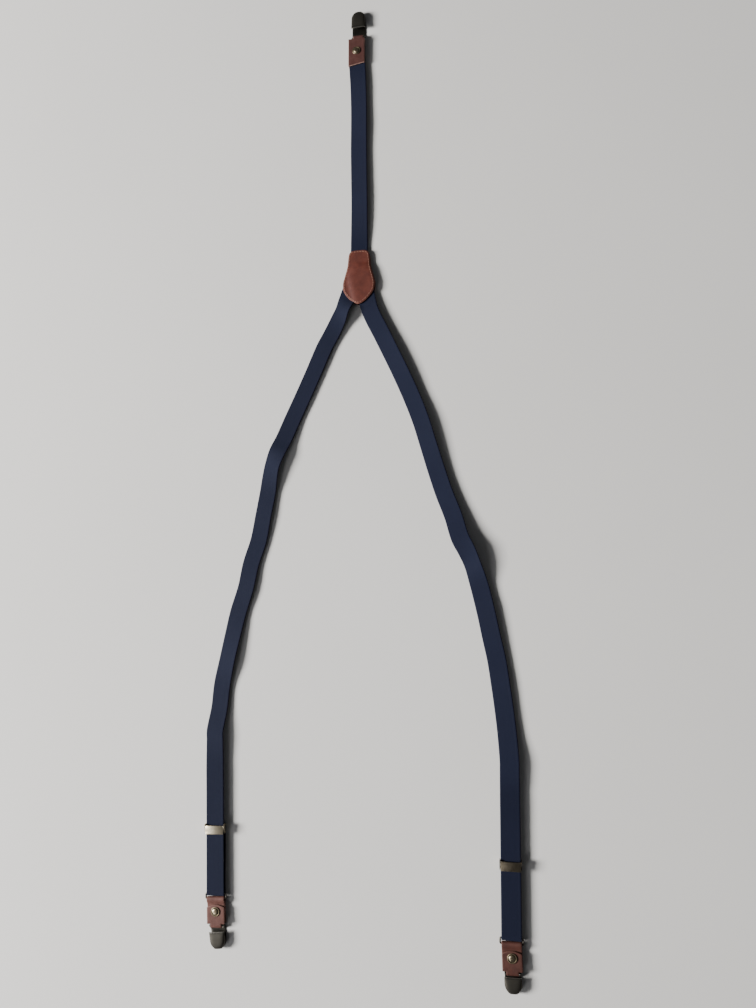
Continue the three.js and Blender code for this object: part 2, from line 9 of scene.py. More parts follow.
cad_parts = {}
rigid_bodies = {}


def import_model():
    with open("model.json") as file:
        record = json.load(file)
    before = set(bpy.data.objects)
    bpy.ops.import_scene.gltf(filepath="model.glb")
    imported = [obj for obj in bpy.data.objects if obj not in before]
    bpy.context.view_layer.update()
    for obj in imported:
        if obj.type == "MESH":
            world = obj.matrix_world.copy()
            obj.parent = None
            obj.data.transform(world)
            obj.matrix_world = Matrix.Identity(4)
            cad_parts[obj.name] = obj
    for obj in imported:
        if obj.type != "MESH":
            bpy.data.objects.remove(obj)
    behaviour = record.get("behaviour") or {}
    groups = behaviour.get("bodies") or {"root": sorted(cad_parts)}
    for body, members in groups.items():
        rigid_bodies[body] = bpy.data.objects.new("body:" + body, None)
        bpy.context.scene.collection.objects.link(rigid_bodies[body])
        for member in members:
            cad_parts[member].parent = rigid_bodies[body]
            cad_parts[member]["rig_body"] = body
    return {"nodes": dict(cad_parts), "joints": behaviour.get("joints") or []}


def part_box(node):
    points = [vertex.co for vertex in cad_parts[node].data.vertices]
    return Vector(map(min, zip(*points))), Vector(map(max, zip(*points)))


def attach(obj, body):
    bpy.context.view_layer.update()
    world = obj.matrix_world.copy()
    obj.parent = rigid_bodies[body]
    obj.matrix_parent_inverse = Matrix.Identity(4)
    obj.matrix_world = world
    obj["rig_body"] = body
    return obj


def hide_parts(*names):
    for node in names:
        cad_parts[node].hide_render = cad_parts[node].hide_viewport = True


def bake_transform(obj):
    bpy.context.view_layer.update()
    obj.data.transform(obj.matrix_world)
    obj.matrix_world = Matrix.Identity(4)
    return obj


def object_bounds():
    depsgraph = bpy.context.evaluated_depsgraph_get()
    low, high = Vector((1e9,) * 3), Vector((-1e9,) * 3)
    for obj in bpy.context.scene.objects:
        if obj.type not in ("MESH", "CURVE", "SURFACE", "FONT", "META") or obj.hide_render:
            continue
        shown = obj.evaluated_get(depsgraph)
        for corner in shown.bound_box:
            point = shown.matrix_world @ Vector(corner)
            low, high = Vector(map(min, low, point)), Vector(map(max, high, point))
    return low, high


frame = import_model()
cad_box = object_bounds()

# Y-back suspenders laid flat. Shapes are worked out in millimetres and placed by the frame's joints
# and boxes: x across, y along, z up from the table.
MM = 0.001
SIDES = ("left", "right")

# ---------- sizes, in millimetres ----------
WEBBING = {"width": 20.0, "thickness": 1.2}
LEATHER = {"width": 20.0, "thickness": 1.4}
CLEARANCE = 0.3            # between pieces that touch
RING_WIRE = 0.9            # radius
TAB = {"neck": 12.3, "shoulder": 1.7, "flap_end": 5.5, "flap_sag": 2.8, "inner_end": 15.6}
BACK_TAB = {"slant": 3.0, "webbing_end": 7.5, "neck_offset": 2.0}
RIVET = {"radius": 4.8, "height": 1.5, "post": 1.4}
COVER = {"width": 17.0, "taper": 9.5, "wall": 0.8, "nose": 1.5}
COVER_LENGTH = {"back": 22.0, "left": 17.6, "right": 16.0}
PATCH_SEAM = {"inset": 1.8, "pitch": 3.3, "stitch": 2.6, "radius": 0.36}
LAYER_LIFT = {"lower": 1.7, "upper": 3.2}  # underside of the webbing between the patch's leathers
FOLD = {"ring": 2.0, "clip": 2.1}          # middle radius of the leather's folds
ADJUSTER = {"depth": 9.4, "hook_bar": 0.7, "hook_from_pin": 0.5}
PAD_TOP = 1.7              # the jaw pad's ridges
CAM_HALF = 2.7             # half the cam's width
STRAIGHT_RUN = 138.0       # from the ring bar to where each front strap's straight end starts
RUN_LIFT = 5.1             # underside of the upper run over the table
FOLD_JOIN = 8.0            # where the return run meets the fold, from the ring bar
DRAPE_STEP = 0.5           # grid of the front leather's drape
DRAPE_REACH = 14           # steps over which the leather eases down beside a strap
DRAPE_STIFFNESS = 0.020    # fall in mm per square mm away from an edge below
DRAPE_EASING = 14          # rounds of smoothing
DRAPE_GAP = 0.25           # between the leather and what it lies on

# ---------- places from the frame ----------
joints = {j["name"]: j for j in frame["joints"]}
patch_low, patch_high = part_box("patch_front")
PATCH_TOP = -89.6          # the patch's upper edge in the routes' own coordinates
route_origin = np.array([(patch_low.x + patch_high.x) / 2, patch_high.y - PATCH_TOP * MM, 0.0])
BAR_HEIGHT = joints["left_ring_swing"]["pos_m"][2] / MM

# Routes of the straps' middle lines: x, y, lift of the lower edge, roll in degrees. Most places are rounded
# measurements of the straps. A positive roll raises the right edge.
BACK_ROUTE = [
    (-3.5, 172.5, 3.3, 0), (-3.5, 166, 3.3, 0), (-3.4, 158, 3.3, 0), (-3.2, 150, 3.2, 0),
    (-2.6, 138, 2.4, 3), (-1.8, 118, 1.0, 8), (-1.2, 95, 0.5, 9), (-1, 68, 0.5, 10),
    (-1, 38, 0.6, 8), (-0.5, 0, 0.5, 9), (0, -30, 0.6, 9), (0, -60, 0.9, 6),
    (0, -84, 1.6, 0), (0, -99, 1.7, 0), (0, -114, 1.7, 0),
]
LEFT_ROUTE = [
    (-4.5, -124, 1.7, 0), (-8.6, -133.5, 1.7, 0), (-12.6, -143.5, 1.8, 0), (-18.5, -159, 1.6, 22),
    (-25, -173, 1.4, 9), (-32.5, -187.5, 1.1, 4), (-40.5, -202, 1.0, 4), (-52.6, -230, 0.9, 4),
    (-64.6, -257, 0.9, 4), (-77.4, -285, 1.2, 3), (-87, -308, 2.9, 3), (-94, -323, 4.9, 5),
    (-100, -338, 1.6, 15), (-103, -353, 0.9, 12), (-105, -367, 0.8, 6), (-110, -395, 0.9, 7),
    (-115, -422, 0.9, 4), (-123.5, -449, 0.9, 5), (-129, -476, 0.9, 7), (-137, -502, 0.9, 5),
    (-143, -529, 1.0, 9), (-148.5, -555, 1.0, 12), (-154, -582, 0.9, 5), (-156.5, -608, 1.1, 6),
]
RIGHT_ROUTE = [
    (3.5, -122, 3.2, 0), (5.8, -131, 3.2, 0), (8.2, -141.5, 3.2, 0), (13, -162, 1.6, 9),
    (27, -192, 0.6, 13), (34, -207, 0.5, 15), (47, -235, 0.5, 15), (59.5, -264, 0.5, 13),
    (70, -292, 1.1, 14), (78, -319, 0.5, 15), (86, -346, 0.5, 12), (94.5, -373, 0.6, 12),
    (104.5, -399.5, 2.2, 10), (112, -424, 5.6, 9), (118.5, -437, 5.4, 15), (124.5, -452, 1.4, 24),
    (131, -474, 0.6, 11), (137.5, -502, 0.5, 11), (142.5, -527, 0.5, 10), (147.5, -551, 0.5, 8),
    (151, -576, 0.5, 9), (154, -600, 0.7, 8), (156.5, -624, 1.4, 7),
]
# Straight ends: distance from the ring bar, roll
STRAIGHT_END = {
    "left": [(168, 5), (160, 5), (150, 3), (STRAIGHT_RUN, 0), (100, 0), (72, 0), (48, 0), (20, 0), (8, 0),
             (2, 0)],
    "right": [(168, 6), (160, 6), (150, 4), (STRAIGHT_RUN, 0), (100, 0), (72, 0), (48, 0), (20, 0), (8, 0),
              (2, 0)],
}
PATCH_HALF = [
    (4, -89.2), (8.6, -89.9), (11.3, -92.2), (12.5, -97), (13.6, -107.5), (16.6, -119.5), (18.8, -129),
    (17.6, -138), (12.4, -146), (5.6, -152),
]
PATCH_TIP = (0, -154.2)


class Place:
    """A frame on the table: millimetres across, along and up, turned about the vertical."""

    def __init__(self, origin, along):
        self.origin = np.array([origin[0], origin[1], 0.0])
        direction = np.array([along[0], along[1], 0.0])
        self.along = direction / np.linalg.norm(direction)
        self.across = np.array([self.along[1], -self.along[0], 0.0])

    def world(self, points):
        points = np.asarray(points, float).reshape(-1, 3)
        flat = np.outer(points[:, 0], self.across) + np.outer(points[:, 1], self.along)
        flat[:, 2] += points[:, 2]
        return self.origin + flat * MM


def clip_place(prefix):
    """The clip's frame: its origin is on the loop bar, and the clip lies towards -y."""
    swing = joints[prefix + "_clip_swing"]
    return Place(swing["pos_m"], (-swing["axis"][1], swing["axis"][0]))


def strap_place(side):
    return Place(joints[side + "_ring_swing"]["pos_m"], joints[side + "_length_slide"]["axis"])


def tab_place(side):
    ring = np.array(joints[side + "_tab_swing"]["pos_m"])
    bar = np.array(joints[side + "_clip_swing"]["pos_m"])
    return Place(ring, ring - bar)


route_place = Place(route_origin, (0, 1))


# ---------- mesh helpers ----------
def add_object(name, vertices, faces, material, uv=None, attributes=None, sharp=None):
    """A closed mesh in the row frame. uv holds millimetres for each vertex."""
    mesh = bpy.data.meshes.new(name)
    mesh.from_pydata([tuple(v) for v in vertices], [], faces)
    for key, values in (attributes or {}).items():
        mesh.attributes.new(key, "FLOAT", "POINT").data.foreach_set("value", np.array(values, float))
    if uv is not None:
        layer = mesh.uv_layers.new(name="weave")
        corner = np.zeros(len(mesh.loops), int)
        mesh.loops.foreach_get("vertex_index", corner)
        layer.uv.foreach_set("vector", np.asarray(uv, float)[corner].ravel())
    work = bmesh.new()
    work.from_mesh(mesh)
    bmesh.ops.remove_doubles(work, verts=work.verts, dist=1e-7)
    bmesh.ops.dissolve_degenerate(work, edges=work.edges, dist=1e-8)
    bmesh.ops.recalc_face_normals(work, faces=work.faces)
    for face in work.faces:
        face.smooth = True
    work.to_mesh(mesh)
    work.free()
    if sharp is not None:
        mesh.set_sharp_from_angle(angle=math.radians(sharp))
    mesh.materials.append(material)
    obj = bpy.data.objects.new(name, mesh)
    bpy.context.scene.collection.objects.link(obj)
    return obj


def grid_faces(rows, columns, closed_columns=False, offset=0):
    faces = []
    last = columns if closed_columns else columns - 1
    for r in range(rows - 1):
        for c in range(last):
            d = (c + 1) % columns
            a = offset + r * columns
            b = a + columns
            faces.append((a + c, a + d, b + d, b + c))
    return faces


def smooth_curve(points, step):
    """Centripetal Catmull-Rom through rows whose first two or three numbers are the place, sampled evenly."""
    p = np.asarray(points, float)
    ends = [2 * p[0] - p[1], *p, 2 * p[-1] - p[-2]]
    p = np.array(ends)
    rows = []
    for i in range(1, len(p) - 2):
        knots = [0.0]
        for j in range(i - 1, i + 2):
            knots.append(knots[-1] + max(np.linalg.norm(p[j + 1][:2] - p[j][:2]), 1e-6) ** 0.5)
        t0, t1, t2, t3 = knots
        for t in np.linspace(t1, t2, 16, endpoint=False):
            a1 = p[i - 1] * (t1 - t) / (t1 - t0) + p[i] * (t - t0) / (t1 - t0)
            a2 = p[i] * (t2 - t) / (t2 - t1) + p[i + 1] * (t - t1) / (t2 - t1)
            a3 = p[i + 1] * (t3 - t) / (t3 - t2) + p[i + 2] * (t - t2) / (t3 - t2)
            b1 = a1 * (t2 - t) / (t2 - t0) + a2 * (t - t0) / (t2 - t0)
            b2 = a2 * (t3 - t) / (t3 - t1) + a3 * (t - t1) / (t3 - t1)
            rows.append(b1 * (t2 - t) / (t2 - t1) + b2 * (t - t1) / (t2 - t1))
    rows.append(p[-2])
    rows = np.array(rows)
    along = np.r_[0, np.cumsum(np.linalg.norm(np.diff(rows[:, :2], axis=0), axis=1))]
    even = np.linspace(0, along[-1], max(2, int(along[-1] / step)))
    return np.stack([np.interp(even, along, rows[:, k]) for k in range(rows.shape[1])], 1)


def arc(y, z, radius, start, end, steps):
    angles = np.radians(np.linspace(start, end, steps + 1))
    return [(y + radius * math.cos(a), z + radius * math.sin(a)) for a in angles]


def unit(rows):
    return rows / np.linalg.norm(rows, axis=1, keepdims=True)


# ---------- material helpers ----------
class Shader:
    """A material's node tree, with short ways to add and link nodes."""

    def __init__(self, name):
        self.material = bpy.data.materials.new(name)
        self.material.use_nodes = True
        self.tree = self.material.node_tree
        self.surface = self.tree.nodes["Principled BSDF"]

    def add(self, kind, **values):
        made = self.tree.nodes.new("ShaderNode" + kind)
        for key, value in values.items():
            setattr(made, key, value)
        return made

    def feed(self, socket, value):
        if isinstance(value, bpy.types.NodeSocket):
            self.tree.links.new(value, socket)
        else:
            socket.default_value = value

    def math(self, operation, a, b=0.0, c=0.0):
        made = self.add("Math", operation=operation)
        for socket, value in zip(made.inputs, (a, b, c)):
            self.feed(socket, value)
        return made.outputs[0]

    def ramp(self, value, low, high, to_low=0.0, to_high=1.0):
        made = self.add("MapRange", interpolation_type="SMOOTHSTEP")
        for socket, number in zip(made.inputs, (value, low, high, to_low, to_high)):
            self.feed(socket, number)
        return made.outputs[0]

    def noise(self, vector, scale, detail=3.0, roughness=0.55):
        made = self.add("TexNoise")
        self.feed(made.inputs["Vector"], vector)
        made.inputs["Scale"].default_value = scale
        made.inputs["Detail"].default_value = detail
        made.inputs["Roughness"].default_value = roughness
        return made.outputs["Fac"]

    def mix(self, factor, a, b):
        made = self.add("Mix", data_type="RGBA")
        self.feed(made.inputs["Factor"], factor)
        for socket, colour in zip((made.inputs[6], made.inputs[7]), (a, b)):
            self.feed(socket, colour if isinstance(colour, bpy.types.NodeSocket) else (*colour, 1.0))
        return made.outputs[2]

    def bump(self, height, strength, distance, normal=None):
        made = self.add("Bump")
        made.inputs["Strength"].default_value = strength
        made.inputs["Distance"].default_value = distance
        self.feed(made.inputs["Height"], height)
        if normal is not None:
            self.feed(made.inputs["Normal"], normal)
        return made.outputs[0]

    def place(self):
        return self.add("TexCoord").outputs["Object"]

    def attribute(self, name):
        return self.add("Attribute", attribute_name=name).outputs["Fac"]

    def set(self, **values):
        for key, value in values.items():
            self.feed(self.surface.inputs[key.replace("_", " ")], value)
        return self.material


def webbing_material():
    """Woven elastic: crosswise ribs whose phase flips in each warp column, and a plain selvedge."""
    s = Shader("webbing_navy")
    split = s.add("SeparateXYZ")
    s.feed(split.inputs[0], s.add("UVMap", uv_map="weave").outputs[0])
    across, along = split.outputs[0], split.outputs[1]
    weft = s.math("SINE", s.math("MULTIPLY", along, 2 * math.pi / 1.1))
    warp = s.math("SINE", s.math("MULTIPLY", across, 2 * math.pi / 1.6))
    basket = s.math("MULTIPLY", weft, warp)
    fibre = s.noise(s.place(), 5200, 2)
    edge = s.ramp(s.math("ABSOLUTE", across), 8.7, 9.3)
    plain = s.math("MULTIPLY", s.math("SINE", s.math("MULTIPLY", along, 2 * math.pi / 0.8)), 0.5)
    weave = s.math("ADD", s.math("MULTIPLY", basket, s.math("SUBTRACT", 1.0, edge)),
                   s.math("MULTIPLY", plain, edge))
    height = s.math("ADD", weave, s.math("MULTIPLY", fibre, 0.6))
    fade = s.noise(s.place(), 26, 4)
    # Lighter on the raised threads and darker in the weave's hollows: painted shade in the hollows.
    thread = s.ramp(height, -0.9, 1.3)
    dark = s.mix(fade, (0.0026, 0.0036, 0.0100), (0.0034, 0.0048, 0.0128))
    light = s.mix(fade, (0.0054, 0.0080, 0.0260), (0.0070, 0.0102, 0.0325))
    colour = s.mix(thread, dark, light)
    rough = s.ramp(fibre, 0.2, 0.8, 0.72, 0.9)
    return s.set(Base_Color=colour, Roughness=rough, Normal=s.bump(height, 0.55, 0.00022),
                 Sheen_Weight=0.035, Sheen_Roughness=0.5, Sheen_Tint=(0.40, 0.48, 0.80, 1.0),
                 Specular_IOR_Level=0.16)


def leather_material(name, dark, light, cut_edge_and_highlight_colour):
    """Smooth full-grain leather: pores, small creases, darker handling marks, and pale edges that are partly
    the cut edge's own colour and partly a painted highlight along the lit bevel.
    """
    s = Shader(name)
    place = s.place()
    pores = s.add("TexVoronoi")
    s.feed(pores.inputs["Vector"], place)
    pores.inputs["Scale"].default_value = 1500
    grain = s.noise(place, 1900, 4)
    crease = s.noise(place, 260, 5, 0.7)
    tone = s.noise(place, 95, 4, 0.6)
    # Paler towards the rim: the cut edge's own colour together with a painted highlight on the bevel.
    edge = s.ramp(s.attribute("edge_distance"), 0.12, 0.75, 1.0, 0.0)
    edge_tint = s.math("MULTIPLY", edge, s.ramp(s.noise(place, 700, 3), 0.25, 0.7, 0.45, 1.0))
    body = s.mix(s.ramp(tone, 0.3, 0.72), dark, light)
    marked = s.mix(s.ramp(crease, 0.35, 0.6, 0.0, 0.35), body, dark)
    colour = s.mix(edge_tint, marked, cut_edge_and_highlight_colour)
    height = s.math("ADD", s.math("MULTIPLY", pores.outputs["Distance"], 0.8),
                    s.math("ADD", s.math("MULTIPLY", grain, 0.7), crease))
    rough = s.ramp(crease, 0.3, 0.7, 0.54, 0.72)
    return s.set(Base_Color=colour, Roughness=rough, Normal=s.bump(height, 0.35, 0.0003),
                 Specular_IOR_Level=0.32)


def thread_material(name, dark, light):
    s = Shader(name)
    twist = s.add("TexWave", wave_type="BANDS", bands_direction="DIAGONAL")
    s.feed(twist.inputs["Vector"], s.place())
    twist.inputs["Scale"].default_value = 900
    twist.inputs["Distortion"].default_value = 1.5
    colour = s.mix(twist.outputs["Fac"], dark, light)
    return s.set(Base_Color=colour, Roughness=0.75, Normal=s.bump(twist.outputs["Fac"], 0.5, 0.0001),
                 Sheen_Weight=0.2)


def metal_material(name, deep, bright, rough_low, rough_high, patina_and_shade=0.35):
    """Plated and aged metal with fine scratches: darker at random where it has aged, darker still by painted
    shade with patina in hollows and under covers, and pale where a highlight is painted.
    """
    s = Shader(name)
    place = s.place()
    cloud = s.noise(place, 180, 5, 0.65)
    speck = s.noise(place, 1400, 3, 0.7)
    stretch = s.add("Mapping")
    s.feed(stretch.inputs["Vector"], place)
    stretch.inputs["Scale"].default_value = (2600, 240, 900)
    scratches = s.noise(stretch.outputs[0], 1.0, 2)
    # This attribute darkens by painted shade, with some patina, in hollows and under covers.
    hollow = s.attribute("patina_and_shade")
    aged = s.math("MAXIMUM", s.ramp(cloud, 0.42, 0.75, 0.0, patina_and_shade), hollow)
    plated = s.mix(aged, bright, deep)
    # Mixing towards a pale colour by this attribute paints a highlight on the covers' rear lips.
    colour = s.mix(s.attribute("painted_highlight"), plated, (0.52, 0.50, 0.45))
    rough = s.math("ADD", s.ramp(speck, 0.3, 0.75, rough_low, rough_high),
                   s.math("MULTIPLY", hollow, 0.3))
    height = s.math("ADD", s.math("MULTIPLY", scratches, 0.5), speck)
    return s.set(Base_Color=colour, Metallic=1.0, Roughness=rough,
                 Normal=s.bump(height, 0.18, 0.00005))


def plastic_material():
    s = Shader("jaw_plastic")
    speck = s.noise(s.place(), 1800, 4)
    colour = s.mix(s.ramp(speck, 0.3, 0.7), (0.012, 0.012, 0.012), (0.03, 0.03, 0.028))
    return s.set(Base_Color=colour, Roughness=0.6, Normal=s.bump(speck, 0.3, 0.0001))


def floor_material():
    s = Shader("floor_pale")
    cloud = s.noise(s.place(), 3.0, 3)
    colour = s.mix(cloud, (0.66, 0.65, 0.635), (0.71, 0.70, 0.685))
    return s.set(Base_Color=colour, Roughness=0.95, Specular_IOR_Level=0.1)


webbing_navy = webbing_material()
# The pale edge colour of this leather is partly a painted highlight.
patch_leather = leather_material(
    "leather_patch", (0.066, 0.0130, 0.0080), (0.108, 0.0255, 0.0155), (0.21, 0.080, 0.055))
# The three tabs are one leather: the left copy is lighter and the back and right copies darker as painted
# light and shade, and their edge colours differ for the same reason.
TAB_LEATHER = {
    "back": leather_material(
        "leather_back_tab_shaded", (0.050, 0.0165, 0.0135), (0.088, 0.034, 0.029), (0.36, 0.22, 0.18)),
    "left": leather_material(
        "leather_left_tab_lit", (0.080, 0.029, 0.022), (0.150, 0.064, 0.051), (0.17, 0.08, 0.062)),
    "right": leather_material(
        "leather_right_tab_shaded", (0.044, 0.0140, 0.0100), (0.080, 0.028, 0.0205), (0.11, 0.045, 0.033)),
}
seam_thread = thread_material("thread_brown", (0.14, 0.045, 0.025), (0.36, 0.17, 0.11))
gunmetal = metal_material("clip_gunmetal", (0.020, 0.0185, 0.016), (0.105, 0.098, 0.084), 0.34, 0.50)
brass = metal_material("rivet_brass", (0.045, 0.032, 0.018), (0.42, 0.35, 0.235), 0.26, 0.42, 0.25)
# One brass for both adjusters: the left copy is lighter and the right copy darker, with more darkening, as
# painted light and shade.
ADJUSTER_LIT_AND_SHADED = {
    "left": metal_material("adjuster_lit_copy", (0.16, 0.13, 0.085), (0.56, 0.49, 0.36), 0.28, 0.42, 0.3),
    "right": metal_material("adjuster_shaded_copy", (0.08, 0.065, 0.045), (0.26, 0.22, 0.16), 0.30, 0.44, 0.5),
}
jaw_plastic = plastic_material()


# ---------- webbing ----------
def webbing_section():
    """Closed outline of the webbing's section: across, up, and rounded selvedges."""
    half, thick = WEBBING["width"] / 2, WEBBING["thickness"] / 2
    across = np.linspace(-half + thick, half - thick, 15)
    bead = 0.12 * np.exp(-((np.abs(across) - (half - 1.1)) / 0.55) ** 2)
    top = [(u, thick + b - 0.06) for u, b in zip(across, bead)]
    right = [(half - thick + thick * math.cos(a), thick * math.sin(a)) for a in np.radians([50, 0, -50])]
    bottom = [(u, -h) for u, h in reversed(top)]
    left = [(-u, -h) for u, h in right]
    return np.array(top + right + bottom + left)


def ribbon(name, centre, side, material):
    """Webbing along a middle line in millimetres, with its width along side at each step."""
    tangent = unit(np.gradient(centre, axis=0))
    side = unit(side - (side * tangent).sum(1, keepdims=True) * tangent)
    normal = np.cross(tangent, side)
    section = webbing_section()
    along = np.r_[0, np.cumsum(np.linalg.norm(np.diff(centre, axis=0), axis=1))]
    rows = centre[:, None] + section[:, 0][None, :, None] * side[:, None] \
        + section[:, 1][None, :, None] * normal[:, None]
    count = len(section)
    faces = grid_faces(len(centre), count, closed_columns=True)
    faces.append(tuple(range(count)))
    last = (len(centre) - 1) * count
    faces.append(tuple(range(last, last + count)))
    uv = np.stack([np.tile(section[:, 0], len(centre)), np.repeat(along, count)], 1)
    obj = add_object(name, route_origin + rows.reshape(-1, 3) * MM, faces, material, uv=uv)
    return obj, along[-1]


def rolled(route, step=2.0):
    """Middle line and width direction of a strap that runs towards -y with lifts and rolls."""
    sampled = smooth_curve(route, step)
    roll = np.radians(sampled[:, 3])
    half = WEBBING["width"] / 2
    height = sampled[:, 2] + WEBBING["thickness"] / 2 + half * np.abs(np.sin(roll))
    centre = np.stack([sampled[:, 0], sampled[:, 1], height], 1)
    tangent = np.gradient(centre, axis=0)
    tangent[:, 2] = 0
    tangent = unit(tangent)
    level = np.stack([-tangent[:, 1], tangent[:, 0], np.zeros(len(tangent))], 1)
    up = np.array([0.0, 0.0, 1.0])
    side = level * np.cos(roll)[:, None] + up * np.sin(roll)[:, None]
    return centre, side


def to_route(place, points):
    return (place.world(points) - route_origin) / MM


def front_strap(side, route):
    """One length of webbing from under the patch to the ring, round it and back underneath."""
    place = strap_place(side)
    straight = []
    for distance, roll in STRAIGHT_END[side]:
        x, y, _ = to_route(place, [(0, distance, 0)])[0]
        sink = (WEBBING["width"] / 2) * math.sin(math.radians(abs(roll)))
        straight.append((x, y, RUN_LIFT - sink, roll))
    centre, width = rolled(list(route) + straight)
    fold = RING_WIRE + CLEARANCE + WEBBING["thickness"] / 2
    loop = arc(0, BAR_HEIGHT, fold, 90, 270, 16) + [(4, BAR_HEIGHT - fold), (FOLD_JOIN, BAR_HEIGHT - fold)]
    turned = to_route(place, [(0, y, z) for y, z in loop])
    centre = np.r_[centre, turned]
    width = np.r_[width, np.tile(place.across, (len(turned), 1))]
    name = side + "_front_webbing"
    obj, length = ribbon(name, centre, width, webbing_navy)
    start = place.world([(0, STRAIGHT_RUN, BAR_HEIGHT)])[0]
    end = place.world([(0, FOLD_JOIN + 4, BAR_HEIGHT)])[0]
    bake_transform(obj)
    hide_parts(side + "_front_strap", side + "_strap_loop")
    return obj, length


def return_run(side):
    """The webbing's end: from the fold, under the strap, to the adjuster's hook bar and round it."""
    place = strap_place(side)
    pin = np.array(joints[side + "_adjuster_flip"]["pos_m"])
    hook_y = float((pin - place.origin) @ place.along) / MM + ADJUSTER["hook_from_pin"]
    fold = ADJUSTER["hook_bar"] + CLEARANCE + WEBBING["thickness"] / 2
    upper = RUN_LIFT - CLEARANCE - WEBBING["thickness"] / 2
    hook_z = upper - fold
    start_z = BAR_HEIGHT - (RING_WIRE + CLEARANCE + WEBBING["thickness"] / 2)
    rows = [(FOLD_JOIN + 0.3, start_z), (14, start_z), (26, start_z - 0.4), (40, hook_z - fold + 0.1),
            (54, hook_z - fold)]
    rows = [(y, z) for y, z in smooth_curve(rows, 2.0)]
    rows += arc(hook_y, hook_z, fold, -90, 90, 12) + [(hook_y - 2.4, upper)]
    centre = to_route(place, [(0, y, z) for y, z in rows])
    width = np.tile(place.across, (len(centre), 1))
    obj, length = ribbon(side + "_return_webbing", centre, width, webbing_navy)
    place.world([(0, FOLD_JOIN + 4, hook_z)])[0]
    place.world([(0, hook_y - ADJUSTER["depth"], hook_z)])[0]
    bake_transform(obj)
    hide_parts(side + "_strap_loop")
    return obj, length


# ---------- leather ----------
def outline_step(outline, step):
    """The closed outline with points no further apart than step."""
    points = []
    for i, start in enumerate(outline):
        end = outline[(i + 1) % len(outline)]
        count = max(1, int(math.ceil(math.dist(start, end) / step)))
        for k in range(count):
            points.append(np.array(start) + (np.array(end) - np.array(start)) * k / count)
    return np.array(points)


def inward_normals(outline):
    """Unit directions into a closed outline, one at each of its points."""
    ahead = np.roll(outline, -1, axis=0) - np.roll(outline, 1, axis=0)
    after = np.roll(outline, -1, axis=0)
    area = 0.5 * np.sum(outline[:, 0] * after[:, 1] - after[:, 0] * outline[:, 1])
    return unit(np.stack([-ahead[:, 1], ahead[:, 0]], 1)) * math.copysign(1, area)


def edge_distances(points, outline):
    direction = np.roll(outline, -1, axis=0) - outline
    size = (direction ** 2).sum(1)
    best = np.empty(len(points))
    for first in range(0, len(points), 512):
        away = points[first:first + 512, None] - outline[None]
        share = np.clip((away * direction).sum(2) / size, 0, 1)
        gap = away - share[..., None] * direction
        best[first:first + 512] = np.sqrt((gap ** 2).sum(2)).min(1)
    return best


def inside(points, outline):
    x, y = points[:, 0], points[:, 1]
    result = np.zeros(len(points), bool)
    for (ax, ay), (bx, by) in zip(outline, np.roll(outline, -1, axis=0)):
        crosses = (ay > y) != (by > y)
        at = (bx - ax) * (y - ay) / np.where(by == ay, 1e-9, by - ay) + ax
        result ^= crosses & (x < at)
    return result


def leather_piece(name, outline, thickness, bend, material, body, grid=1.3):
    """A cut sheet of leather with rounded edges. bend turns (across, along, height) into the row frame."""
    rim = outline_step(outline, 0.7)
    candidates = []
    inward = inward_normals(rim)
    for inset in (0.12, 0.32, 0.7):
        ring = rim + inward * inset
        fits = inside(ring, rim) & (edge_distances(ring, rim) > inset * 0.85)
        candidates.append(ring[fits])
    low, high = rim.min(0), rim.max(0)
    xs, ys = np.meshgrid(np.arange(low[0], high[0], grid), np.arange(low[1], high[1], grid))
    field = np.stack([xs.ravel(), ys.ravel()], 1)
    fits = inside(field, rim) & (edge_distances(field, rim) > 1.2)
    candidates.append(field[fits])
    points = np.r_[rim, np.concatenate(candidates)]
    flat, _, faces, *_ = geometry.delaunay_2d_cdt(
        [Vector(p) for p in points], [], [list(range(len(rim)))], 1, 1e-5)
    flat = np.array([tuple(p) for p in flat])
    depth = edge_distances(flat, rim)
    on_rim = depth < 1e-4
    share = np.clip(depth / 0.7, 0, 1)
    height = thickness / 2 * np.sqrt(1 - (1 - share) ** 2)
    top = bend(flat[:, 0], flat[:, 1], np.where(on_rim, 0, height))
    bottom = bend(flat[:, 0], flat[:, 1], np.where(on_rim, 0, -height))
    lower = np.arange(len(flat))
    extra = np.where(~on_rim)[0]
    lower[extra] = len(flat) + np.arange(len(extra))
    vertices = np.r_[top, bottom[extra]]
    both = [tuple(f) for f in faces] + [tuple(int(lower[i]) for i in reversed(f)) for f in faces]
    distance = np.r_[depth, depth[extra]]
    obj = add_object(name, vertices, both, material, attributes={"edge_distance": distance})
    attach(obj, body)
    return obj


def patch_outline(inset=0.0):
    """The patch's rounded keystone, with its upper edge straight across."""
    last_x, last_y = PATCH_HALF[-1]
    side = smooth_curve(PATCH_HALF + [PATCH_TIP, (-last_x, last_y)], 0.8)
    side = side[side[:, 0] >= 0]
    outline = np.r_[side, [PATCH_TIP], (side * [-1, 1])[::-1]]
    if inset:
        moved = outline + inward_normals(outline) * inset
        keep = edge_distances(moved, outline) > inset * 0.9
        outline = moved[keep & inside(moved, outline)]
    return outline


def support_height(points):
    """Top of what lies under the front leather: the back leather and the three straps."""
    height = np.full(len(points), LEATHER["thickness"])
    layers = [
        (BACK_ROUTE, LAYER_LIFT["lower"]), (LEFT_ROUTE[:5], LAYER_LIFT["lower"]),
        (RIGHT_ROUTE[:5], LAYER_LIFT["upper"]),
    ]
    for route, lift in layers:
        line = smooth_curve(route, 1.0)[:, :2]
        near = np.sqrt(((points[:, None] - line[None]) ** 2).sum(2)).min(1) < WEBBING["width"] / 2
        height = np.where(near, np.maximum(height, lift + WEBBING["thickness"]), height)
    return height


